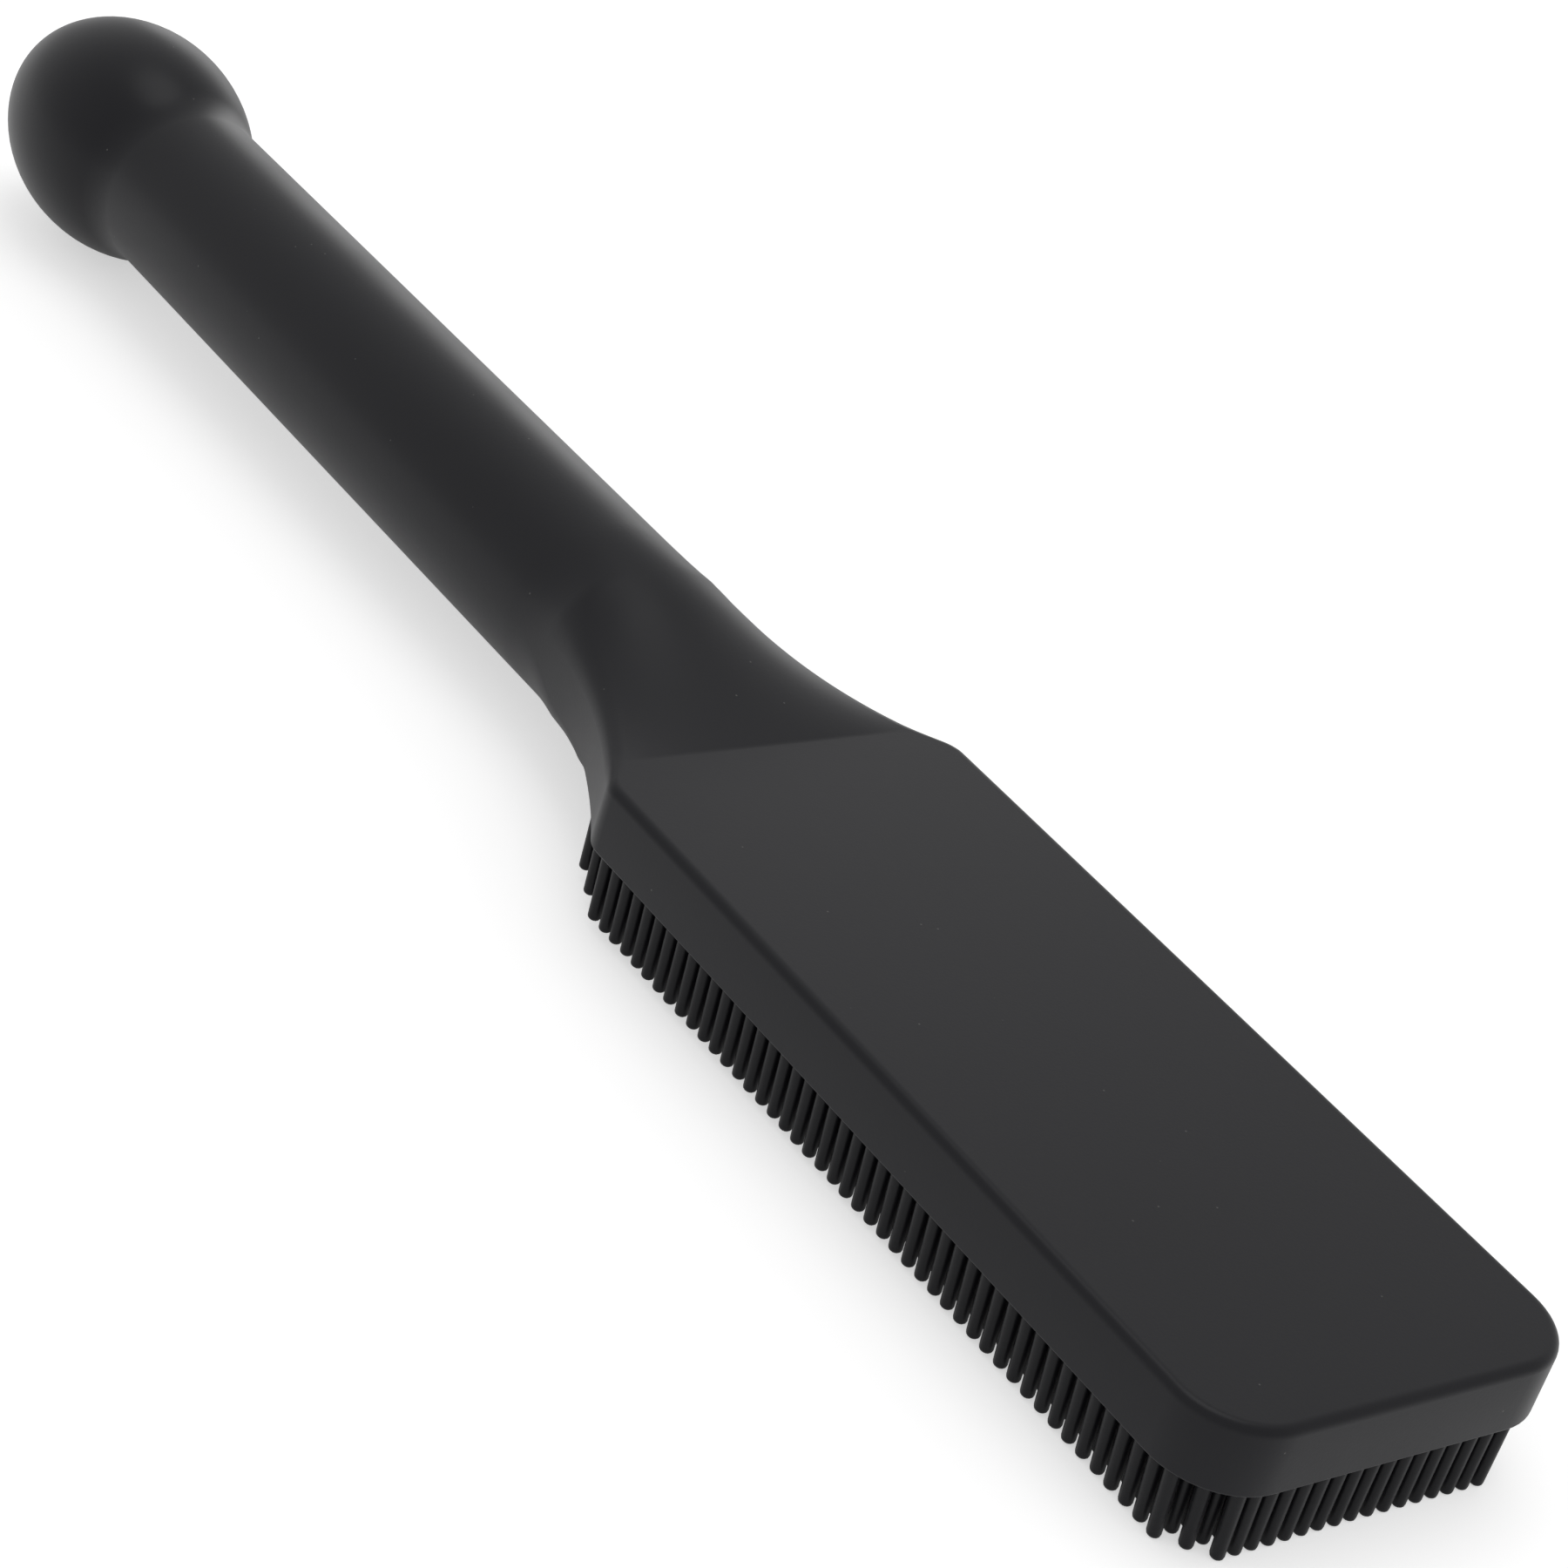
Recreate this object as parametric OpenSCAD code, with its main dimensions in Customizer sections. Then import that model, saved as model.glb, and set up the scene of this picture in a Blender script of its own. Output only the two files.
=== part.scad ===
// Rubber curry brush: a stiff core in a soft rubber moulding, with a field of bristles underneath.
// The origin is on the handle's axis, midway along the brush. +X points to the head's front edge,
// +Z away from the bristles. All sizes are in millimetres.

/* [Overall] */
// Length from the end of the ball to the head's front edge
total_l = 335; // [325:1:350]

/* [Head] */
// Width of the head
head_w = 55.6; // [52:0.2:60]
// Thickness of the head at its flat part
head_t = 9.3; // [9:0.1:12]
// Height of the head's middle plane above the handle's axis
head_z = 0.46; // [0:0.02:0.8]
// Radius of the two front corners in plan
front_r = 10; // [6:0.5:14]
// Radius of the two shoulder corners in plan
shoulder_r = 5; // [4:0.5:7]
// Rounding of the head's top edge
edge_r = 1.25; // [0.8:0.05:2]
// Rounding of the head's lower rim
rim_r = 0.4; // [0.2:0.05:0.6]

/* [Handle] */
// Diameter of the grip
grip_d = 26.7; // [25:0.1:29]
// Diameter of the ball at the end
ball_d = 35.5; // [34:0.1:37]
// Length of the ball
ball_l = 48.8; // [47:0.2:51]
// Radius of the ball's two ends
ball_end_r = 14.4; // [14.1:0.1:15]
// Fillet between the ball and the grip
ball_fillet_r = 16; // [8:0.5:20]

/* [Neck] */
// Where the grip ends and the neck starts, along the axis
neck_x = -1.5; // [-6:0.5:2]
// Where the sloping neck meets the flat top of the head
crease_x = 40; // [36:0.5:42]
// Where the belly of the neck meets the underside of the head
belly_x = 29; // [26:0.5:31]
// Plan radius of the neck's concave sides
neck_r = 80; // [70:1:90]
// Rounding of the neck's upper edges
neck_edge_r = 2.4; // [1.5:0.1:3]

/* [Bristles] */
// Distance between bristles, both ways
pitch = 2.54; // [2.4:0.02:3]
// Diameter of a bristle near its tip
bristle_d = 1.75; // [1.4:0.05:1.9]
// Diameter of a bristle at its root
bristle_root_d = 2; // [1.6:0.05:2]
// Length of a bristle below the rim
bristle_l = 9.9; // [8:0.1:10.5]
// Distance from the head's outline to the nearest bristle's axis
bristle_margin = 1.9; // [1.9:0.05:3]
// Number of rows along the head
bristle_rows = 53; // [30:1:53]
// Number of columns to each side of the middle one
bristle_half_columns = 10; // [6:1:10]
// Distance from the head's front edge to the first row
first_row = 2.36; // [2:0.02:4]

/* [Core] */
// Diameter of the stiff core in the grip
core_d = 18; // [16:0.5:20]
// Diameter of the core's knob in the ball
knob_d = 25; // [22:0.5:26]
// Diameter of the hollow in each core half
pocket_d = 11; // [8:0.5:12]
// Thickness of the steel blade
blade_t = 1.5; // [1.2:0.1:2]
// Width of the blade in the head
blade_w = 44; // [36:1:46]
// Width of the blade's tang in the handle
tang_w = 13; // [11:0.5:14]
// Diameter of the holes that lock the rubber to the blade
lock_hole_d = 5; // [3:0.5:6]

/* [Hidden] */
$fn = 96;

tip_x = total_l / 2;
grip_r = grip_d / 2;
half_w = head_w / 2;
head_top = head_z + head_t / 2;
head_bottom = head_z - head_t / 2;

// Ball: two end spheres joined by a barrel that is tangent to both
ball_x = -tip_x + ball_l / 2;
ball_end_offset = ball_l / 2 - ball_end_r;
barrel_rise = ball_d / 2 - ball_end_r;
barrel_offset = (pow(ball_end_offset, 2) - pow(barrel_rise, 2)) / (2 * barrel_rise);
barrel_r = ball_d / 2 + barrel_offset;
barrel_half_l = ball_end_offset * barrel_r / (barrel_r - ball_end_r);
fillet_x = grip_r + ball_fillet_r;
fillet_y = sqrt(pow(barrel_r + ball_fillet_r, 2) - pow(fillet_x + barrel_offset, 2));

// Plan outline: a concave neck arc, then a convex shoulder arc tangent to it and to the side
neck_cy = grip_r + neck_r;
shoulder_cy = half_w - shoulder_r;
shoulder_run = sqrt(pow(neck_r + shoulder_r, 2) - pow(neck_cy - shoulder_cy, 2));
// Rounded to a hundredth, so that the neck, the straight part and the front meet face to face
shoulder_x = hundredth(neck_x + shoulder_run);
shoulder_start = hundredth(neck_x + shoulder_run * neck_r / (neck_r + shoulder_r));

// Neck sections
top_ease = 17;
belly_ease = 12;
top_slope = (grip_r - head_top) / (crease_x - neck_x - top_ease / 2);
belly_slope = (grip_r + head_bottom) / (belly_x - neck_x - belly_ease / 2);
edge_start = 0.4;
edge_end = 8;
crown_n = 6;
corner_n = 4;
ring_n = crown_n + corner_n;
least = 0.05;
first_ring = 0.997;
loft_x = concat([for (i = [0:16]) neck_x + (crease_x - neck_x) * i / 16],
                [for (i = [1:2]) crease_x + (shoulder_start - crease_x) * i / 2],
                [for (i = [1:4]) shoulder_start + (shoulder_x - shoulder_start) * sin(90 * i / 4)]);

// Bristle pad
pad_t = 2.2;
pad_inset = 0.9;
pad_rear = 2.2;
last_row_x = tip_x - first_row - (bristle_rows - 1) * pitch;
pad_x = last_row_x - pad_rear;
bristle_tip_l = 0.5;
bristle_tip_r = bristle_d / 2 - 0.4;

// Core
core_end = neck_x - 3;
blade_front = tip_x - 8;
blade_x = shoulder_x + 3;
blade_corner_r = 6;
tang_end = ball_x + 22;
screw_x = [for (i = [0:2]) ball_x + 28 + 54 * i];
screw_boss = 7;
screw_r = 1.5;
screw_head_r = 2.8;
screw_head_z = 6.4;
screw_head_h = 1.7;
screw_l = 12.5;
screw_gap = 0.2;
lock_rows = 6;
lock_cols = 2;
lock_step_x = 18;
lock_step_y = 22;

function hundredth(v) = round(100 * v) / 100;
function clamp01(v) = min(1, max(0, v));
function smooth(t) = t * t * (3 - 2 * t);

// Height lost at distance d along a ramp that eases in over a length e
function ramp(d, slope, e) = d < e ? slope * d * d / (2 * e) : slope * (d - e / 2);

function neck_half(x) = x <= shoulder_start
    ? neck_cy - sqrt(pow(neck_r, 2) - pow(x - neck_x, 2))
    : shoulder_cy + sqrt(max(0, pow(shoulder_r, 2) - pow(x - shoulder_x, 2)));
function neck_share(x) = clamp01((x - neck_x) / (crease_x - neck_x));
function neck_ease(x) = smooth(clamp01((x - neck_x) / top_ease));
function edge_share(x) = neck_share(x) * smooth(clamp01(neck_share(x) / edge_start));

// Radius of the section's corner: the grip's own radius at the grip, a small edge at the head
function top_edge(x) = let (body = neck_edge_r + (grip_r - neck_edge_r) * pow(1 - edge_share(x), 2.4))
    body + (edge_r - neck_edge_r) * smooth(clamp01((x - shoulder_x + edge_end) / edge_end));
function low_edge(x) = rim_r + (grip_r - rim_r) * pow(1 - edge_share(x), 2.8);

function top_z(x) = max(head_top, grip_r - ramp(x - neck_x, top_slope, top_ease));
function low_z(x) = max(-head_bottom, grip_r - ramp(x - neck_x, belly_slope, belly_ease));
// Height of a corner's centre: at most this share of the way up to the middle of the section
function most_rise(x) = (1 + smooth(neck_share(x))) / 2;
function centre(x, wanted, edge, middle) =
    max(least, min(wanted * neck_ease(x), most_rise(x) * (middle - edge)));
function top_centre(x) = centre(x, head_top - min(top_edge(x), neck_edge_r), top_edge(x), top_z(x));
function low_centre(x) = centre(x, -head_bottom - rim_r, low_edge(x), low_z(x));

// Height of a section at distance y from its middle: a crown as far as the corner's arc, then the arc.
// h is the half width, e the corner's radius, c the height of its centre and z the height in the middle.
function crown_angle(h, e, c, z) = let (a = atan(2 * max(0, z - c - e) / max(1, h - e)))
    atan(2 * max(0, z - c - e * cos(a)) / max(1, h - e + e * sin(a)));
function section(y, h, e, c, z) = let (
        a = crown_angle(h, e, c, z),
        y1 = h - e + e * sin(a),
        z1 = c + e * cos(a),
        arc = c + sqrt(max(0, pow(e, 2) - pow(max(0, y - (h - e)), 2))))
    y < y1 && y1 > least ? z1 + (z - z1) * (1 - pow(y / y1, 2)) : arc;

// Where a section's points stand: evenly round the grip, and close together on the head's corners
function spread(k, h, e, share) = let (
        even = h * sin(90 * k / ring_n),
        close = k < crown_n ? (h - e) * k / crown_n : h - e * (1 - sin(90 * (k - crown_n) / corner_n)))
    even + (close - even) * share;
// The first ring stands just inside the grip's round end
function ring_scale(x) = x > neck_x ? 1 : first_ring;
function ring_point(x, k, side, h, e, c, z) = let (y = spread(k, h, e, neck_share(x)))
    [x, side * hundredth(ring_scale(x) * y), hundredth(ring_scale(x) * section(y, h, e, c, z))];
function top_point(x, k, side) = ring_point(x, k, side, neck_half(x), top_edge(x), top_centre(x), top_z(x));
function low_point(x, k, side) =
    let (p = ring_point(x, k, side, neck_half(x), low_edge(x), low_centre(x), low_z(x))) [p[0], p[1], -p[2]];
function ring(x) = concat([for (k = [0:ring_n]) top_point(x, k, 1)],
                          [for (k = [ring_n:-1:0]) low_point(x, k, 1)],
                          [for (k = [1:ring_n]) low_point(x, k, -1)],
                          [for (k = [ring_n:-1:1]) top_point(x, k, -1)]);

// The distance from a point to the outline, and whether a bristle may stand there
function corner_gap(x, y) = x > tip_x - front_r && abs(y) > half_w - front_r
    ? front_r - norm([x - tip_x + front_r, abs(y) - half_w + front_r]) : min(tip_x - x, half_w - abs(y));
function neck_gap(x, y) = x < shoulder_x ? norm([x - neck_x, abs(y) - neck_cy]) - neck_r : half_w;
function has_bristle(x, y) = min(corner_gap(x, y), neck_gap(x, y)) >= bristle_margin;

module ball_and_grip_profile() {
    square([grip_r, neck_x - ball_x]);
    for (side = [-1, 1])
        translate([0, side * ball_end_offset]) circle(ball_end_r);
    intersection() {
        translate([-barrel_offset, 0]) circle(barrel_r);
        translate([0, -barrel_half_l]) square([barrel_r, 2 * barrel_half_l]);
    }
    difference() {
        polygon([[-barrel_offset, 0], [fillet_x, fillet_y], [-barrel_offset, fillet_y]]);
        translate([fillet_x, fillet_y]) circle(ball_fillet_r);
    }
}

module ball_and_grip() {
    translate([ball_x, 0, 0]) rotate([0, 90, 0]) rotate_extrude()
        intersection() {
            ball_and_grip_profile();
            translate([0, -ball_l]) square([ball_l, 4 * ball_l]);
        }
}

module neck() {
    n = len(ring(neck_x));
    m = len(loft_x);
    first = m * n;
    last = first + 1;
    polyhedron(
        points = concat([for (x = loft_x) each ring(x)],
                        [[loft_x[0], 0, 0], [loft_x[m - 1], 0, head_z]]),
        faces = [
            for (k = [0:n - 1]) [first, (k + 1) % n, k],
            for (k = [0:n - 1]) [last, (m - 1) * n + k, (m - 1) * n + (k + 1) % n],
            for (i = [0:m - 2], k = [0:n - 1]) [i * n + k, i * n + (k + 1) % n, (i + 1) * n + (k + 1) % n],
            for (i = [0:m - 2], k = [0:n - 1]) [i * n + k, (i + 1) * n + (k + 1) % n, (i + 1) * n + k]]);
}

// The last ring of the neck is the section of the whole head
module straight_section() {
    polygon([for (p = ring(shoulder_x)) [p[1], p[2]]]);
}

// The outer part of the same section, from the front corner's axis to the wall
module front_section() {
    polygon(concat([[0, head_top]],
                   [for (k = [crown_n:ring_n]) let (p = top_point(shoulder_x, k, 1))
                       [hundredth(front_r - half_w + p[1]), p[2]]],
                   [for (k = [ring_n:-1:crown_n]) let (p = low_point(shoulder_x, k, 1))
                       [hundredth(front_r - half_w + p[1]), p[2]]],
                   [[0, head_bottom]]));
}

module head() {
    straight_l = tip_x - front_r - shoulder_x;
    corner_y = half_w - front_r;
    translate([shoulder_x, 0, 0]) rotate([90, 0, 90]) linear_extrude(straight_l) straight_section();
    translate([tip_x - front_r, corner_y, 0]) rotate([90, 0, 0])
        linear_extrude(2 * corner_y) front_section();
    translate([tip_x - front_r, corner_y, 0]) rotate_extrude(angle = 90) front_section();
    translate([tip_x - front_r, -corner_y, 0]) rotate([0, 0, -90])
        rotate_extrude(angle = 90) front_section();
}

// Plan of the head's outline moved inwards, from the rear edge of the pad to the front
module pad_plan(inset) {
    difference() {
        union() {
            translate([pad_x, -half_w + inset]) square([tip_x - front_r - pad_x, head_w - 2 * inset]);
            translate([pad_x, -half_w + front_r]) square([tip_x - inset - pad_x, head_w - 2 * front_r]);
            for (side = [-1, 1])
                translate([tip_x - front_r, side * (half_w - front_r)]) circle(front_r - inset);
        }
        for (side = [-1, 1]) translate([neck_x, side * neck_cy]) circle(neck_r + inset);
    }
}

module pad_web() {
    translate([0, 0, head_bottom]) linear_extrude(pad_t) pad_plan(pad_inset);
}

module bristle() {
    translate([0, 0, -bristle_l + bristle_tip_l])
        cylinder(h = bristle_l - bristle_tip_l, d1 = bristle_d, d2 = bristle_root_d, $fn = 24);
    translate([0, 0, -bristle_l])
        cylinder(h = bristle_tip_l, r1 = bristle_tip_r, r2 = bristle_d / 2, $fn = 24);
}

module rubber_cover() {
    color("#3a3a3c") difference() {
        union() {
            ball_and_grip();
            neck();
            head();
        }
        core_rod();
        blade_solid();
        pad_web();
    }
}

module bristle_pad() {
    color("#2c2c2e") {
        pad_web();
        for (row = [0:bristle_rows - 1], column = [-bristle_half_columns:bristle_half_columns]) {
            x = tip_x - first_row - row * pitch;
            y = column * pitch;
            if (has_bristle(x, y)) translate([x, y, head_bottom]) bristle();
        }
    }
}

module core_rod() {
    translate([ball_x, 0, 0]) rotate([0, 90, 0]) cylinder(h = core_end - ball_x, d = core_d);
    translate([ball_x, 0, 0]) sphere(d = knob_d);
}

module blade_plan() {
    translate([blade_x, -blade_w / 2]) square([blade_front - blade_corner_r - blade_x, blade_w]);
    translate([blade_x, -blade_w / 2 + blade_corner_r])
        square([blade_front - blade_x, blade_w - 2 * blade_corner_r]);
    for (side = [-1, 1])
        translate([blade_front - blade_corner_r, side * (blade_w / 2 - blade_corner_r)])
            circle(blade_corner_r);
    polygon([[core_end, -tang_w / 2], [blade_x, -blade_w / 2], [blade_x, blade_w / 2],
             [core_end, tang_w / 2]]);
    translate([tang_end, -tang_w / 2]) square([core_end - tang_end, tang_w]);
}

module lock_holes() {
    for (i = [0:lock_rows - 1], j = [0:lock_cols - 1])
        translate([blade_x + 10 + i * lock_step_x, (j - 0.5) * lock_step_y])
            circle(d = lock_hole_d);
}

module blade_solid() {
    translate([0, 0, -blade_t / 2]) linear_extrude(blade_t) difference() {
        blade_plan();
        lock_holes();
    }
}

module core_blade() {
    color("#b9bcc0") difference() {
        blade_solid();
        for (x = screw_x) translate([x, 0, -blade_t]) cylinder(h = 2 * blade_t, r = screw_r + screw_gap);
    }
}

module core_half(side) {
    difference() {
        intersection() {
            core_rod();
            translate([-tip_x, -knob_d, side > 0 ? 0 : -knob_d]) cube([total_l, 2 * knob_d, knob_d]);
        }
        // Recess for half of the tang's thickness
        translate([tang_end, -tang_w / 2, -blade_t / 2]) cube([core_end - tang_end + 1, tang_w, blade_t]);
        // Hollows between the screw bosses
        for (i = [0:1])
            translate([screw_x[i] + screw_boss, 0, 0]) rotate([0, 90, 0])
                cylinder(h = screw_x[i + 1] - screw_x[i] - 2 * screw_boss, d = pocket_d);
    }
}

module core_half_upper() {
    color("#8c8f86") difference() {
        core_half(1);
        for (x = screw_x) {
            translate([x, 0, 0]) cylinder(h = core_d, r = screw_r + screw_gap);
            translate([x, 0, screw_head_z]) cylinder(h = core_d, r = screw_head_r + screw_gap);
        }
    }
}

module core_half_lower() {
    color("#7f8279") difference() {
        core_half(-1);
        for (x = screw_x)
            translate([x, 0, screw_head_z - screw_l]) cylinder(h = screw_l, r = screw_r);
    }
}

module core_screws() {
    color("#9a9da1") for (x = screw_x) {
        translate([x, 0, screw_head_z - screw_l]) cylinder(h = screw_l, r = screw_r);
        translate([x, 0, screw_head_z]) cylinder(h = screw_head_h, r = screw_head_r);
    }
}

rubber_cover();
bristle_pad();
core_blade();
core_half_upper();
core_half_lower();
core_screws();
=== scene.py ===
# %% [markdown]
# # A rubber curry brush
# A grooming brush that is held in one hand: a flat head with a field of short rubber bristles
# under it, a round grip, and a ball at the end that keeps the hand from slipping off. Outside, the
# brush is all black silicone rubber. Inside, a steel blade and a nylon core keep it straight.
# The measured model is loaded first. Its hard inner parts stay as they are, and the two rubber
# parts are modelled again here with finer curves.

# %% Load the measured model
import math
import random

import bmesh
import bpy
from mathutils import Matrix, Vector


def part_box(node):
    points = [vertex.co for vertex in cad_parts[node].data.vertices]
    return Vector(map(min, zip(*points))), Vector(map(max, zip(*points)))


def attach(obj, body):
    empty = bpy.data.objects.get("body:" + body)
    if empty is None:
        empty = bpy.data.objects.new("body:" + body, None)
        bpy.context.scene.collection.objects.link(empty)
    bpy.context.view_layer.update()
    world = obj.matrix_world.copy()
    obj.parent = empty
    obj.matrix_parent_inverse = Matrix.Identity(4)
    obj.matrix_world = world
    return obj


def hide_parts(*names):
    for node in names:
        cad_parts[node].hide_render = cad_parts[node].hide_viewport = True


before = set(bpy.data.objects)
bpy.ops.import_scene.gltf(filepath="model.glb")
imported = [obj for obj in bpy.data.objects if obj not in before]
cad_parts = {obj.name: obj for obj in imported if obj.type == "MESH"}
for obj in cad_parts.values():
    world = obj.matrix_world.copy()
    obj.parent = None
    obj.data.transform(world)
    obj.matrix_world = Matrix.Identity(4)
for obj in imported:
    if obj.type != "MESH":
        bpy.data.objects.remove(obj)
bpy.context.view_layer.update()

MM = 0.001
print("measured model:", sorted(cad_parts))

# %% [markdown]
# ## Sizes
# X runs along the grip towards the head's front edge, and Z points away from the bristles. The
# outer sizes are read from the measured model's boxes. The rest are the radii that give the
# brush its character, in metres.

# %% The sizes
cover_low, cover_high = (Vector(corner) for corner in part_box("rubber_cover"))
pad_low, pad_high = (Vector(corner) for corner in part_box("bristle_pad"))
TIP_X = cover_high.x
HALF_W = cover_high.y
BALL_R = cover_high.z

HEAD_TOP = 5.11 * MM
HEAD_BOTTOM = -4.19 * MM
EDGE_R = 1.25 * MM
RIM_R = 0.4 * MM
FRONT_R = 10 * MM
GRIP_R = 13.35 * MM

BALL_L = 48.8 * MM
BALL_END_R = 14.4 * MM
BALL_FILLET_R = 16 * MM
BALL_X = -TIP_X + BALL_L / 2

NECK_X = -1.5 * MM
CREASE_X = 40 * MM
BELLY_X = 29 * MM
NECK_R = 80 * MM
NECK_EDGE_R = 2.4 * MM
SHOULDER_R = 5 * MM
NECK_CY = GRIP_R + NECK_R
SHOULDER_CY = HALF_W - SHOULDER_R
SHOULDER_RUN = math.sqrt((NECK_R + SHOULDER_R) ** 2 - (NECK_CY - SHOULDER_CY) ** 2)


def hundredth(length):
    """A length rounded to a hundredth of a millimetre, as the measured model has it."""
    return round(length / MM, 2) * MM


SHOULDER_X = hundredth(NECK_X + SHOULDER_RUN)
SHOULDER_START = hundredth(NECK_X + SHOULDER_RUN * NECK_R / (NECK_R + SHOULDER_R))
print(f"shoulder from {SHOULDER_START / MM:.2f} to {SHOULDER_X / MM:.2f} mm along the axis")
print(f"length {2 * TIP_X / MM:.1f} mm, width {2 * HALF_W / MM:.1f} mm, ball {2 * BALL_R / MM:.1f} mm")

# %% [markdown]
# ## Materials
# Colours are written as sRGB hex values, which one function turns to the linear values that the
# shaders work with. One more function adds a node, sets its properties, and fills its inputs with
# numbers or with another node's output. Pattern scales come from sizes in millimetres.

# %% Colour, scale and node helpers
def linear(hex_colour):
    channels = [int(hex_colour[i:i + 2], 16) / 255 for i in (1, 3, 5)]
    return [c / 12.92 if c <= 0.04045 else ((c + 0.055) / 1.055) ** 2.4 for c in channels] + [1.0]


def per_metre(size_mm):
    return 1 / (size_mm * MM)


def add_node(tree, kind, inputs=None, **settings):
    node = tree.nodes.new(kind)
    for name, value in settings.items():
        setattr(node, name, value)
    for name, value in (inputs or {}).items():
        if isinstance(value, bpy.types.NodeSocket):
            tree.links.new(value, node.inputs[name])
        else:
            node.inputs[name].default_value = value
    return node


def new_material(name):
    material = bpy.data.materials.new(name)
    material.use_nodes = True
    material.node_tree.nodes.clear()
    return material, material.node_tree


def show(tree, shader):
    add_node(tree, "ShaderNodeOutputMaterial", {"Surface": shader.outputs[0]})


COVER_BLACK = ("#121217", "#17171c")
BRISTLE_BLACK = ("#0e0e12", "#121216")
LINT_GREY = "#8c8a86"
print("black rubber in linear light:", [round(c, 4) for c in linear(COVER_BLACK[0])[:3]])

# %% [markdown]
# ### Silicone rubber
# The brush is moulded silicone with a soft-touch finish. The mould's spark-eroded walls leave a
# fine even grain, so the black looks satin, with soft pale edges where the surface turns away and
# no sharp reflections. Silicone also holds a little lint: tiny paler specks, far apart.

# %% Silicone
CLOUD_MM = 28
LINT_MM = 5
LINT_EDGE = (0.020, 0.032)
SILICONE_IOR = 1.41


def silicone(name, blacks, roughness, grain_mm, sheen, lint):
    """Black silicone: two close blacks in large soft clouds, a fine grain, and lint if wanted."""
    material, tree = new_material(name)
    place = add_node(tree, "ShaderNodeTexCoord").outputs["Object"]
    cloud = add_node(tree, "ShaderNodeTexNoise",
                     {"Vector": place, "Scale": per_metre(CLOUD_MM), "Detail": 3.0, "Roughness": 0.55})
    dark, light = (linear(black) for black in blacks)
    colour = add_node(tree, "ShaderNodeMix", {"Factor": cloud.outputs["Fac"], "A": dark, "B": light},
                      data_type="RGBA").outputs["Result"]
    gloss = add_node(tree, "ShaderNodeMapRange",
                     {"Value": cloud.outputs["Fac"], "From Min": 0.3, "From Max": 0.7,
                      "To Min": roughness - 0.03, "To Max": roughness + 0.03})
    if lint:
        cell = add_node(tree, "ShaderNodeTexVoronoi", {"Vector": place, "Scale": per_metre(LINT_MM)})
        speck = add_node(tree, "ShaderNodeMapRange",
                         {"Value": cell.outputs["Distance"], "From Min": LINT_EDGE[0],
                          "From Max": LINT_EDGE[1], "To Min": lint, "To Max": 0.0})
        colour = add_node(tree, "ShaderNodeMix",
                          {"Factor": speck.outputs[0], "A": colour, "B": linear(LINT_GREY)},
                          data_type="RGBA").outputs["Result"]
    grain = add_node(tree, "ShaderNodeTexNoise",
                     {"Vector": place, "Scale": per_metre(grain_mm), "Detail": 2.0})
    bump = add_node(tree, "ShaderNodeBump",
                    {"Height": grain.outputs["Fac"], "Strength": 0.35, "Distance": 0.02 * MM})
    shader = add_node(tree, "ShaderNodeBsdfPrincipled",
                      {"Base Color": colour, "Roughness": gloss.outputs[0], "IOR": SILICONE_IOR,
                       "Specular IOR Level": 0.4, "Normal": bump.outputs[0],
                       "Sheen Weight": sheen, "Sheen Roughness": 0.45})
    show(tree, shader)
    return material


# The grain is 0.15 mm on the real surface, and is drawn at 0.4 mm so that it shows
cover_silicone = silicone("soft_touch_black_silicone", COVER_BLACK, 0.35, 0.4, 0.02, 0.3)
bristle_silicone = silicone("moulded_black_silicone", BRISTLE_BLACK, 0.38, 0.5, 0.0, 0.0)
print("silicones:", cover_silicone.name, bristle_silicone.name)

# %% [markdown]
# ### The core's steel and nylon
# The blade is cold-rolled stainless spring steel, brushed along its length: long scratches under a
# tenth of a millimetre apart. The core halves are glass-filled nylon, a dull grey with short pale
# fibres under the surface. The screws are zinc-plated, slightly mottled.

# %% Steel, nylon and zinc
def metal(name, colour, roughness, stretch, grain_mm):
    material, tree = new_material(name)
    place = add_node(tree, "ShaderNodeTexCoord").outputs["Object"]
    mapped = add_node(tree, "ShaderNodeMapping", {"Vector": place, "Scale": stretch})
    grain = add_node(tree, "ShaderNodeTexNoise",
                     {"Vector": mapped.outputs[0], "Scale": per_metre(grain_mm), "Detail": 4.0})
    gloss = add_node(tree, "ShaderNodeMapRange",
                     {"Value": grain.outputs["Fac"], "From Min": 0.3, "From Max": 0.7,
                      "To Min": roughness - 0.08, "To Max": roughness + 0.08})
    bump = add_node(tree, "ShaderNodeBump",
                    {"Height": grain.outputs["Fac"], "Strength": 0.2, "Distance": 0.01 * MM})
    shader = add_node(tree, "ShaderNodeBsdfPrincipled",
                      {"Base Color": linear(colour), "Metallic": 1.0, "Roughness": gloss.outputs[0],
                       "Normal": bump.outputs[0]})
    show(tree, shader)
    return material


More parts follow.
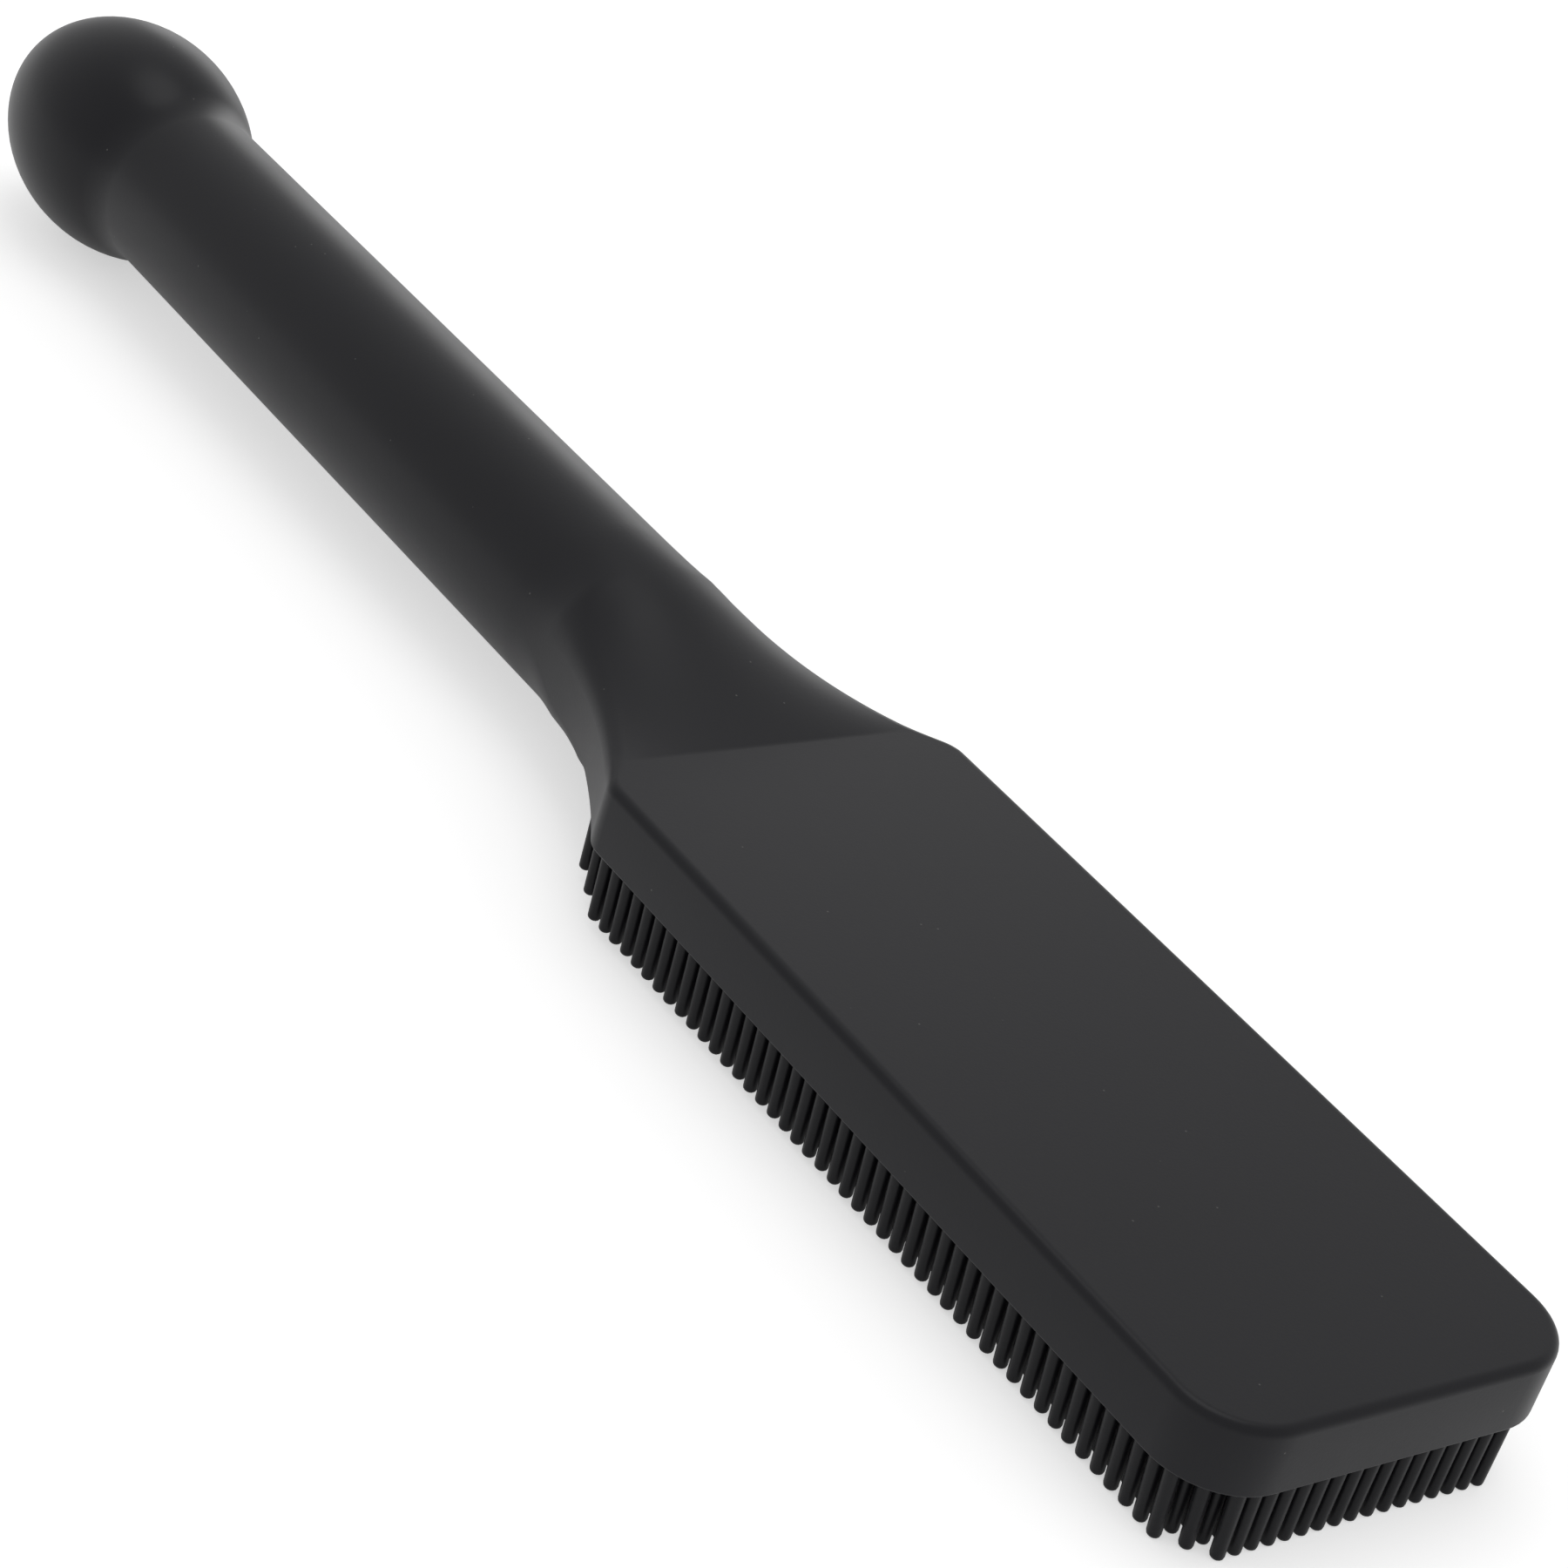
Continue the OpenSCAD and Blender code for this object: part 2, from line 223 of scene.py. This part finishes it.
def glass_filled_nylon():
    material, tree = new_material("glass_filled_nylon")
    place = add_node(tree, "ShaderNodeTexCoord").outputs["Object"]
    mapped = add_node(tree, "ShaderNodeMapping", {"Vector": place, "Scale": (0.25, 1.0, 1.0)})
    fibres = add_node(tree, "ShaderNodeTexNoise",
                      {"Vector": mapped.outputs[0], "Scale": per_metre(0.6), "Detail": 5.0})
    ramp = add_node(tree, "ShaderNodeValToRGB", {"Fac": fibres.outputs["Fac"]})
    ramp.color_ramp.elements[0].position = 0.42
    ramp.color_ramp.elements[0].color = linear("#8a8c82")
    ramp.color_ramp.elements[1].position = 0.70
    ramp.color_ramp.elements[1].color = linear("#a9aba2")
    bump = add_node(tree, "ShaderNodeBump",
                    {"Height": fibres.outputs["Fac"], "Strength": 0.25, "Distance": 0.02 * MM})
    shader = add_node(tree, "ShaderNodeBsdfPrincipled",
                      {"Base Color": ramp.outputs["Color"], "Roughness": 0.55, "IOR": 1.53,
                       "Normal": bump.outputs[0]})
    show(tree, shader)
    return material


brushed_steel = metal("brushed_spring_steel", "#b9bcc0", 0.30, (0.02, 1.0, 1.0), 0.1)
zinc_plate = metal("zinc_plated_steel", "#a8abad", 0.36, (1.0, 1.0, 1.0), 0.8)
nylon = glass_filled_nylon()
core_finish = {"core_blade": brushed_steel, "core_half_upper": nylon, "core_half_lower": nylon,
               "core_screws": zinc_plate}
for name, finish in core_finish.items():
    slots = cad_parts[name].data.materials
    if not slots:
        slots.append(finish)
    for i in range(len(slots)):
        slots[i] = finish
print("core finishes:", {name: finish.name for name, finish in core_finish.items()})

# %% [markdown]
# ## The cover's shape
# Every section of the cover is a ring of points round the grip's axis. On the grip the ring is a
# circle. Towards the head it widens along an arc, its top slopes down to a crease, its underside
# rises, and its round sides turn into a thin wall with a rounded upper corner and a small rim.
# One function gives a section's height at each distance from the middle: a low crown as far as
# the corner, and then the corner's arc.

# %% How the neck changes along its length
RING_N = 20
CORNER_N = 8
# The last crown point stands this far inside the corner's arc, so that the head's top stays flat
HOLD = 0.25 * MM
TOP_EASE = 17 * MM
BELLY_EASE = 12 * MM
EDGE_START = 0.4
TOP_POWER = 2.4
LOW_POWER = 2.8
EDGE_END = 8 * MM
LEAST = 0.05 * MM
TOP_SLOPE = (GRIP_R - HEAD_TOP) / (CREASE_X - NECK_X - TOP_EASE / 2)
BELLY_SLOPE = (GRIP_R + HEAD_BOTTOM) / (BELLY_X - NECK_X - BELLY_EASE / 2)


def clamp01(value):
    return min(1.0, max(0.0, value))


def smooth(t):
    return t * t * (3 - 2 * t)


def ramp_drop(distance, slope, ease):
    """Height lost along a ramp that eases in over a length and then goes straight down."""
    if distance < ease:
        return slope * distance * distance / (2 * ease)
    return slope * (distance - ease / 2)


def share(x):
    """How far along the neck a station stands: 0 at the grip, 1 at the crease."""
    return clamp01((x - NECK_X) / (CREASE_X - NECK_X))


def edge_share(x):
    """The share that drives the corners, easing in so that the neck leaves the grip smoothly."""
    return share(x) * smooth(clamp01(share(x) / EDGE_START))


def half_width(x):
    """The plan outline: the neck's hollow arc, then the shoulder's round one."""
    if x <= SHOULDER_START:
        return NECK_CY - math.sqrt(NECK_R ** 2 - (x - NECK_X) ** 2)
    return SHOULDER_CY + math.sqrt(max(0, SHOULDER_R ** 2 - (x - SHOULDER_X) ** 2))


def corner_centre(x, wanted, edge, middle):
    """Height of a corner's centre, which rises slowly so that the grip's outline runs on."""
    ease = smooth(clamp01((x - NECK_X) / TOP_EASE))
    most_rise = (1 + smooth(share(x))) / 2
    return max(0, min(wanted * ease, most_rise * (middle - edge)))


def top_shape(x):
    """Corner radius, height of its centre and height in the middle, on the upper side."""
    body = NECK_EDGE_R + (GRIP_R - NECK_EDGE_R) * (1 - edge_share(x)) ** TOP_POWER
    edge = body + (EDGE_R - NECK_EDGE_R) * smooth(clamp01((x - SHOULDER_X + EDGE_END) / EDGE_END))
    middle = max(HEAD_TOP, GRIP_R - ramp_drop(x - NECK_X, TOP_SLOPE, TOP_EASE))
    return edge, corner_centre(x, HEAD_TOP - min(edge, NECK_EDGE_R), edge, middle), middle


def low_shape(x):
    """The same for the underside, with heights counted downwards."""
    edge = RIM_R + (GRIP_R - RIM_R) * (1 - edge_share(x)) ** LOW_POWER
    middle = max(-HEAD_BOTTOM, GRIP_R - ramp_drop(x - NECK_X, BELLY_SLOPE, BELLY_EASE))
    return edge, corner_centre(x, -HEAD_BOTTOM - RIM_R, edge, middle), middle


def section_height(y, half, edge, centre, middle):
    """A crown from the middle to where it touches the corner's arc, and then the arc itself."""
    flat = max(1 * MM, half - edge)
    angle = math.atan(2 * max(0, middle - centre - edge) / flat)
    rise = max(0, middle - centre - edge * math.cos(angle))
    angle = math.atan(2 * rise / max(1 * MM, half - edge + edge * math.sin(angle)))
    y_corner = half - edge + edge * math.sin(angle)
    z_corner = centre + edge * math.cos(angle)
    if y < y_corner and y_corner > LEAST:
        return z_corner + (middle - z_corner) * (1 - (y / y_corner) ** 2)
    return centre + math.sqrt(max(0, edge ** 2 - max(0, y - (half - edge)) ** 2))


def spread(k, half, edge, amount):
    """Where point k stands: evenly round the grip, and close together on the head's corners."""
    even = half * math.sin(math.radians(90 * k / (RING_N + 0.5)))
    crown_n = RING_N - CORNER_N
    if k < crown_n - 1:
        close = (half - edge - HOLD) * k / (crown_n - 1)
    elif k == crown_n - 1:
        close = half - edge - HOLD
    else:
        close = half - edge * (1 - math.sin(math.radians(90 * (k - crown_n) / CORNER_N)))
    return even + (close - even) * amount


def side_points(x, shape):
    """Distance from the middle and height for k = 0 to RING_N at one station."""
    half, (edge, centre, middle) = half_width(x), shape(x)
    amount = smooth(share(x))
    ys = [spread(k, half, edge, amount) for k in range(RING_N + 1)]
    return [(y, section_height(y, half, edge, centre, middle)) for y in ys]


print("grip section:", [round(v / MM, 2) for v in side_points(NECK_X, top_shape)[RING_N // 2]])
print("head section half width:", round(side_points(SHOULDER_X, top_shape)[-1][0] / MM, 2), "mm")

# %% [markdown]
# ## The ball and the grip
# The ball is an egg-like barrel: a round end that runs into a longer arc, with a hollow fillet
# where it meets the grip. It is a body of revolution, so its profile is drawn once as a chain of
# edges, and the spin operator turns it round the grip's axis. The ring at the neck stays open.

# %% Spin the ball and the grip
GRIP_STEPS = 10
# A ring has RING_N points in each quarter, and one each in the middle of the top and the bottom
TURN_STEPS = 4 * RING_N + 2


def arc(centre, radius, start, end, steps):
    """Points on an arc in the XZ plane, the angles in degrees from +X towards +Z."""
    angles = [math.radians(start + (end - start) * i / steps) for i in range(steps + 1)]
    return [Vector((centre[0] + radius * math.cos(a), 0, centre[1] + radius * math.sin(a)))
            for a in angles]


def ball_profile():
    """Round end, barrel and fillet: arcs that touch each other, from the ball's end to the grip."""
    offset = BALL_L / 2 - BALL_END_R
    rise = BALL_R - BALL_END_R
    drop = (offset ** 2 - rise ** 2) / (2 * rise)
    barrel_r = BALL_R + drop
    turn = math.degrees(math.atan2(drop, offset))
    fillet_z = GRIP_R + BALL_FILLET_R
    reach = math.sqrt((barrel_r + BALL_FILLET_R) ** 2 - (fillet_z + drop) ** 2)
    fillet_turn = math.degrees(math.atan2(fillet_z + drop, reach))
    rear = arc((BALL_X - offset, 0), BALL_END_R, 180, 180 - turn, 16)
    barrel = arc((BALL_X, -drop), barrel_r, 180 - turn, fillet_turn, 24)
    fillet = arc((BALL_X + reach, fillet_z), BALL_FILLET_R, 180 + fillet_turn, 270, 10)
    return rear + barrel[1:] + fillet[1:]


def spin_handle(bm):
    points = ball_profile()
    start = points[-1].x
    points += [Vector((start + (NECK_X - start) * i / GRIP_STEPS, 0, GRIP_R))
               for i in range(1, GRIP_STEPS + 1)]
    points[0].z = 0
    verts = [bm.verts.new(p) for p in points]
    edges = [bm.edges.new(pair) for pair in zip(verts, verts[1:])]
    bmesh.ops.spin(bm, geom=verts + edges, cent=(0, 0, 0), axis=(-1, 0, 0), angle=math.tau,
                   steps=TURN_STEPS, use_merge=True)
    bmesh.ops.remove_doubles(bm, verts=bm.verts, dist=0.001 * MM)


cover_bm = bmesh.new()
spin_handle(cover_bm)
print("ball and grip:", len(cover_bm.verts), "points,", len(cover_bm.faces), "faces")

# %% [markdown]
# ## The neck and the head
# The open ring is extruded station by station, and each new ring's points are moved to the next
# section. Stations stand closer together at the crease and the shoulder. At the front corners the
# ring bends: its wall follows the corner's arc, while its flat middle stays straight across.

# %% Extrude the neck and the head
def ring_edges(bm):
    return [e for e in bm.edges if e.is_boundary]


def ring_order(vert):
    return math.atan2(vert.co.y, vert.co.z) % math.tau


def next_ring(bm, points):
    """Extrudes the open ring and moves it to new points, which start in the middle of the top."""
    made = bmesh.ops.extrude_edge_only(bm, edges=ring_edges(bm))["geom"]
    verts = sorted((g for g in made if isinstance(g, bmesh.types.BMVert)), key=ring_order)
    for vert, point in zip(verts, points, strict=True):
        vert.co = point


def full_ring(top, low):
    """A whole ring from its upper and lower points on the +Y side, each a list of (x, y, z)."""
    right = top + low[::-1]
    left = [(x, -y, z) for x, y, z in low[1:] + top[:0:-1]]
    return [Vector(p) for p in right + left]


def station_ring(x):
    top = [(x, y, z) for y, z in side_points(x, top_shape)]
    low = [(x, y, -z) for y, z in side_points(x, low_shape)]
    return full_ring(top, low)


def bent_side(outline, normal, shape, sign):
    """One side of a ring at the front corner: the wall's corner along the normal, then straight."""
    points = side_points(SHOULDER_X, shape)
    hold = RING_N - CORNER_N - 1
    half = points[-1][0]
    corner = [(outline[0] - normal[0] * (half - y), outline[1] - normal[1] * (half - y), sign * z)
              for y, z in points[hold:]]
    middle = [(corner[0][0], corner[0][1] * y / points[hold][0], sign * z)
              for y, z in points[:hold]]
    return middle + corner


def corner_ring(turn):
    normal = (math.sin(turn), math.cos(turn))
    outline = (TIP_X - FRONT_R + FRONT_R * normal[0], HALF_W - FRONT_R + FRONT_R * normal[1])
    return full_ring(bent_side(outline, normal, top_shape, 1), bent_side(outline, normal, low_shape, -1))


PAD_RIM = HALF_W - pad_high.y
PAD_T = 2.2 * MM
PAD_REAR = pad_low.x - (PAD_RIM - RIM_R)
CREASE_SOFT = 0.35 * MM
SHOULDER_STEPS = 10
CORNER_STEPS = 14
neck_stations = [NECK_X + 1 * MM * i for i in range(1, 41)]
neck_stations += [PAD_REAR, CREASE_X - CREASE_SOFT, CREASE_X, CREASE_X + CREASE_SOFT]
neck_stations += [CREASE_X + (SHOULDER_START - CREASE_X) * i / 4 for i in range(1, 5)]
neck_stations += [SHOULDER_START + (SHOULDER_X - SHOULDER_START)
                  * math.sin(math.radians(90 * i / SHOULDER_STEPS))
                  for i in range(1, SHOULDER_STEPS + 1)]
for x in sorted(set(neck_stations)):
    next_ring(cover_bm, station_ring(x))
print("neck:", len(set(neck_stations)), "stations")

for i in range(CORNER_STEPS + 1):
    next_ring(cover_bm, corner_ring(math.radians(90 * i / CORNER_STEPS)))
print("head:", len(cover_bm.faces), "faces so far")

# %% [markdown]
# ## Closing the front
# The last ring is an upright frame: two wall profiles with straight edges between them. One
# profile is extruded across in the same steps as the straight edges, and merging the doubles
# stitches it to them. The mesh is then closed.

# %% Close the front wall
def close_front(bm):
    reach = HALF_W - FRONT_R
    open_edges = ring_edges(bm)
    side = [e for e in open_edges if all(v.co.y > reach - 0.01 * MM for v in e.verts)]
    rows = sorted({round(v.co.y, 7) for e in open_edges for v in e.verts}, reverse=True)
    for row, following in zip(rows, rows[1:]):
        made = bmesh.ops.extrude_edge_only(bm, edges=side)["geom"]
        verts = [g for g in made if isinstance(g, bmesh.types.BMVert)]
        bmesh.ops.translate(bm, verts=verts, vec=(0, following - row, 0))
        side = [g for g in made if isinstance(g, bmesh.types.BMEdge)]
    bmesh.ops.remove_doubles(bm, verts=bm.verts, dist=0.002 * MM)
    bmesh.ops.recalc_face_normals(bm, faces=bm.faces)


close_front(cover_bm)
print("open edges after closing:", len(ring_edges(cover_bm)))

# %% [markdown]
# ## The recess for the bristle pad
# The pad's web sits in a shallow recess with a rim of cover rubber round it. The flat underside is
# dissolved into one face, which is inset by the rim and then pushed up by the web's thickness.

# %% Cut the recess
def cut_recess(bm):
    """Returns the outline of the recess's ceiling, which the pad's web starts from."""
    flat = [f for f in bm.faces
            if f.normal.z < -0.9999 and f.calc_center_median().x > PAD_REAR
            and abs(f.calc_center_median().z - HEAD_BOTTOM) < 0.01 * MM]
    face = bmesh.ops.dissolve_faces(bm, faces=flat, use_verts=True)["region"][0]
    bmesh.ops.inset_region(bm, faces=[face], thickness=PAD_RIM - RIM_R, use_even_offset=True,
                           use_boundary=True)
    bmesh.ops.inset_region(bm, faces=[face], thickness=0, depth=-PAD_T, use_even_offset=True,
                           use_boundary=True)
    return [v.co.copy() for v in face.verts]


recess_outline = cut_recess(cover_bm)
print("recess outline:", len(recess_outline), "points at", round(recess_outline[0].z / MM, 2), "mm")

# %% Finish the cover
def finish_piece(bm, name, material, sharp_degrees):
    """Turns a bmesh into an object: smooth faces, sharp edges where the surface really turns."""
    for face in bm.faces:
        face.smooth = True
    for edge in bm.edges:
        edge.smooth = edge.calc_face_angle(0) < math.radians(sharp_degrees)
    mesh = bpy.data.meshes.new(name)
    bm.to_mesh(mesh)
    bm.free()
    mesh.materials.append(material)
    piece = bpy.data.objects.new(name, mesh)
    bpy.context.scene.collection.objects.link(piece)
    mesh.calc_loop_triangles()
    print(f"{name}: {len(mesh.loop_triangles)} triangles")
    return piece


cover = finish_piece(cover_bm, "silicone_cover", cover_silicone, 40)
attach(cover, "root")
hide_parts("rubber_cover")

# %% [markdown]
# ## The bristle pad
# The pad is one moulding: a web and about a thousand round bristles in a square grid. One bristle
# is made as a tapered cone with a rounded tip, and copies of it are set wherever the grid is far
# enough inside the head's outline. Soft rubber pins never stand quite straight: these lean a
# little forwards, the outer ones lean inwards towards the front, and each has a small lean of its own.

# %% One bristle
PITCH = 2.54 * MM
BRISTLE_TIP_R = 0.875 * MM
BRISTLE_ROOT_R = 1.0 * MM
BRISTLE_L = HEAD_BOTTOM - pad_low.z
FIRST_ROW = 2.36 * MM
ROWS = 53
HALF_COLUMNS = 10
MARGIN = 1.9 * MM
ROOT = 0.3 * MM
BRISTLE_SIDES = 14
TIP_ROUNDING = 0.5 * MM


def make_bristle():
    """A pin whose root is a little above the web's face, at the origin, pointing down."""
    bm = bmesh.new()
    bmesh.ops.create_cone(bm, cap_ends=True, segments=BRISTLE_SIDES, radius1=BRISTLE_TIP_R,
                          radius2=BRISTLE_ROOT_R, depth=BRISTLE_L + ROOT)
    bmesh.ops.translate(bm, verts=bm.verts, vec=(0, 0, (ROOT - BRISTLE_L) / 2))
    tip = [e for e in bm.edges if all(v.co.z < -BRISTLE_L / 2 for v in e.verts)]
    bmesh.ops.bevel(bm, geom=tip, offset=TIP_ROUNDING, affect="EDGES", segments=3, profile=0.5,
                    material=-1)
    mesh = bpy.data.meshes.new("bristle_pattern")
    bm.to_mesh(mesh)
    bm.free()
    return mesh


bristle_mesh = make_bristle()
print("one bristle:", len(bristle_mesh.polygons), "faces")

# %% Where the bristles stand
def outline_gap(x, y):
    """Distance from a point under the head to the head's outline."""
    if x > TIP_X - FRONT_R and abs(y) > HALF_W - FRONT_R:
        return FRONT_R - math.hypot(x - TIP_X + FRONT_R, abs(y) - HALF_W + FRONT_R)
    gap = min(TIP_X - x, HALF_W - abs(y))
    if x < SHOULDER_X:
        gap = min(gap, math.hypot(x - NECK_X, abs(y) - NECK_CY) - NECK_R)
    return gap


places = [(TIP_X - FIRST_ROW - row * PITCH, column * PITCH)
          for row in range(ROWS) for column in range(-HALF_COLUMNS, HALF_COLUMNS + 1)]
places = [place for place in places if outline_gap(*place) >= MARGIN]
print("bristles:", len(places))

# %% The web and all its bristles
WEB_GAP = 0.03 * MM
LEAN_SEED = 7
OWN_LEAN = 0.03
FORWARD_LEAN = 0.2 * MM
OUTER_FORWARD_LEAN = 0.25 * MM
OUTER_INWARD_LEAN = 0.8 * MM


def lean_of(x, y, dice):
    """How far a bristle's tip stands from straight below its root, along X and Y."""
    outer = abs(y) / (HALF_COLUMNS * PITCH)
    forward = FORWARD_LEAN + OUTER_FORWARD_LEAN * outer ** 2
    inward = OUTER_INWARD_LEAN * outer ** 2 * clamp01((x - CREASE_X) / (TIP_X - CREASE_X))
    return (forward + dice.gauss(0, OWN_LEAN) * MM,
            -math.copysign(inward, y) + dice.gauss(0, OWN_LEAN) * MM)


def build_pad():
    bm = bmesh.new()
    verts = [bm.verts.new(p) for p in recess_outline]
    face = bm.faces.new(verts)
    bmesh.ops.inset_region(bm, faces=[face], thickness=WEB_GAP, use_even_offset=True,
                           use_boundary=True)
    inner = set(face.verts)
    bmesh.ops.delete(bm, geom=[v for v in bm.verts if v not in inner], context="VERTS")
    made = bmesh.ops.extrude_face_region(bm, geom=list(bm.faces), use_keep_orig=True)["geom"]
    lower = [g for g in made if isinstance(g, bmesh.types.BMVert)]
    bmesh.ops.translate(bm, verts=lower, vec=(0, 0, -PAD_T))
    bmesh.ops.recalc_face_normals(bm, faces=bm.faces)
    dice = random.Random(LEAN_SEED)
    for x, y in places:
        first = len(bm.verts)
        bm.from_mesh(bristle_mesh)
        bm.verts.ensure_lookup_table()
        lean_x, lean_y = lean_of(x, y, dice)
        lean = Matrix(((1, 0, -lean_x / BRISTLE_L, x), (0, 1, -lean_y / BRISTLE_L, y),
                       (0, 0, 1, HEAD_BOTTOM), (0, 0, 0, 1)))
        bmesh.ops.transform(bm, matrix=lean, verts=bm.verts[first:])
    return bm


pad = finish_piece(build_pad(), "silicone_bristle_pad", bristle_silicone, 50)
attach(pad, "root")
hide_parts("bristle_pad")

# %% [markdown]
# ## Floor, light and camera
# The brush lies on its ball and on the tips of its front bristles, so the floor under it is
# tilted by less than a degree. The floor is plain and pale, and shows lighter to the camera than
# it is, which gives a white ground without more light on the brush. The world is a soft even
# white, with two large lamps.

# %% Floor
FLOOR_RADIUS = 4.0
FLOOR_GLOW = 0.55
# The rubber mirrors this much of the glow
MIRRORED_SHARE = 0.45


def floor_finish():
    """Matt grey that glows for the camera, and in part for mirrored rays."""
    material, tree = new_material("matte_white_sweep")
    path = add_node(tree, "ShaderNodeLightPath")
    mirrored = add_node(tree, "ShaderNodeMath", {0: path.outputs["Is Glossy Ray"],
                                                 1: path.outputs["Is Transmission Ray"]},
                        operation="MAXIMUM")
    mirrored = add_node(tree, "ShaderNodeMath", {0: mirrored.outputs[0], 1: MIRRORED_SHARE},
                        operation="MULTIPLY")
    seen = add_node(tree, "ShaderNodeMath", {0: path.outputs["Is Camera Ray"], 1: mirrored.outputs[0]},
                    operation="MAXIMUM")
    plain = add_node(tree, "ShaderNodeBsdfDiffuse", {"Color": linear("#e6e6e6")})
    glow = add_node(tree, "ShaderNodeEmission", {"Color": linear("#ffffff"), "Strength": FLOOR_GLOW})
    bright = add_node(tree, "ShaderNodeAddShader", {0: plain.outputs[0], 1: glow.outputs[0]})
    mixed = add_node(tree, "ShaderNodeMixShader", {0: seen.outputs[0], 1: plain.outputs[0],
                                                   2: bright.outputs[0]})
    show(tree, mixed)
    return material


def lay_floor():
    """A disc that touches the ball and the tips of the first row of bristles."""
    bm = bmesh.new()
    bmesh.ops.create_circle(bm, cap_ends=True, segments=64, radius=FLOOR_RADIUS)
    rest_x = TIP_X - FIRST_ROW
    slope = math.atan2(pad_low.z - cover_low.z, rest_x - BALL_X)
    bmesh.ops.rotate(bm, verts=bm.verts, cent=(0, 0, 0), matrix=Matrix.Rotation(-slope, 3, "Y"))
    drop = cover_low.z - math.tan(slope) * BALL_X - 0.05 * MM
    bmesh.ops.translate(bm, verts=bm.verts, vec=(0, 0, drop))
    mesh = bpy.data.meshes.new("floor")
    bm.to_mesh(mesh)
    bm.free()
    mesh.materials.append(floor_finish())
    floor = bpy.data.objects.new("floor", mesh)
    bpy.context.scene.collection.objects.link(floor)
    print(f"floor tilted by {math.degrees(slope):.2f} degrees")
    return floor


lay_floor()

# %% Light
def soft_world(strength):
    world = bpy.data.worlds.new("soft_white_room")
    world.use_nodes = True
    tree = world.node_tree
    tree.nodes.clear()
    path = add_node(tree, "ShaderNodeLightPath")
    room = add_node(tree, "ShaderNodeBackground", {"Color": linear("#ffffff"), "Strength": strength})
    white = add_node(tree, "ShaderNodeBackground", {"Color": linear("#ffffff"), "Strength": 1.0})
    mixed = add_node(tree, "ShaderNodeMixShader", {0: path.outputs["Is Camera Ray"],
                                                   1: room.outputs[0], 2: white.outputs[0]})
    add_node(tree, "ShaderNodeOutputWorld", {"Surface": mixed.outputs[0]})
    bpy.context.scene.world = world


def soft_lamp(name, place, target, size, watts):
    lamp = bpy.data.lights.new(name, "AREA")
    lamp.shape = "DISK"
    lamp.size = size
    lamp.energy = watts
    holder = bpy.data.objects.new(name, lamp)
    holder.location = place
    holder.rotation_euler = (Vector(target) - Vector(place)).to_track_quat("-Z", "Y").to_euler()
    bpy.context.scene.collection.objects.link(holder)


soft_world(0.58)
soft_lamp("back_lamp", (-1.05, 0.9, 0.15), (0, 0, 0), 0.7, 1.0)
soft_lamp("top_lamp", (-0.2, 0.1, 1.4), (0, 0, 0), 1.0, 2.5)

# %% Camera
CAMERA_PLACE = (0.35959, -0.29725, 0.24270)
CAMERA_TURN = (59.710, -15.708, 55.655)
CAMERA_LENS = 90.16


def place_camera():
    camera = bpy.data.cameras.new("camera")
    camera.lens = CAMERA_LENS
    camera.sensor_width = 36
    camera.clip_start = 0.01
    camera.clip_end = 20
    holder = bpy.data.objects.new("camera", camera)
    holder.location = CAMERA_PLACE
    holder.rotation_euler = [math.radians(a) for a in CAMERA_TURN]
    bpy.context.scene.collection.objects.link(holder)
    bpy.context.scene.camera = holder


place_camera()
bpy.context.scene.view_settings.view_transform = "Standard"
print("camera at", CAMERA_PLACE)
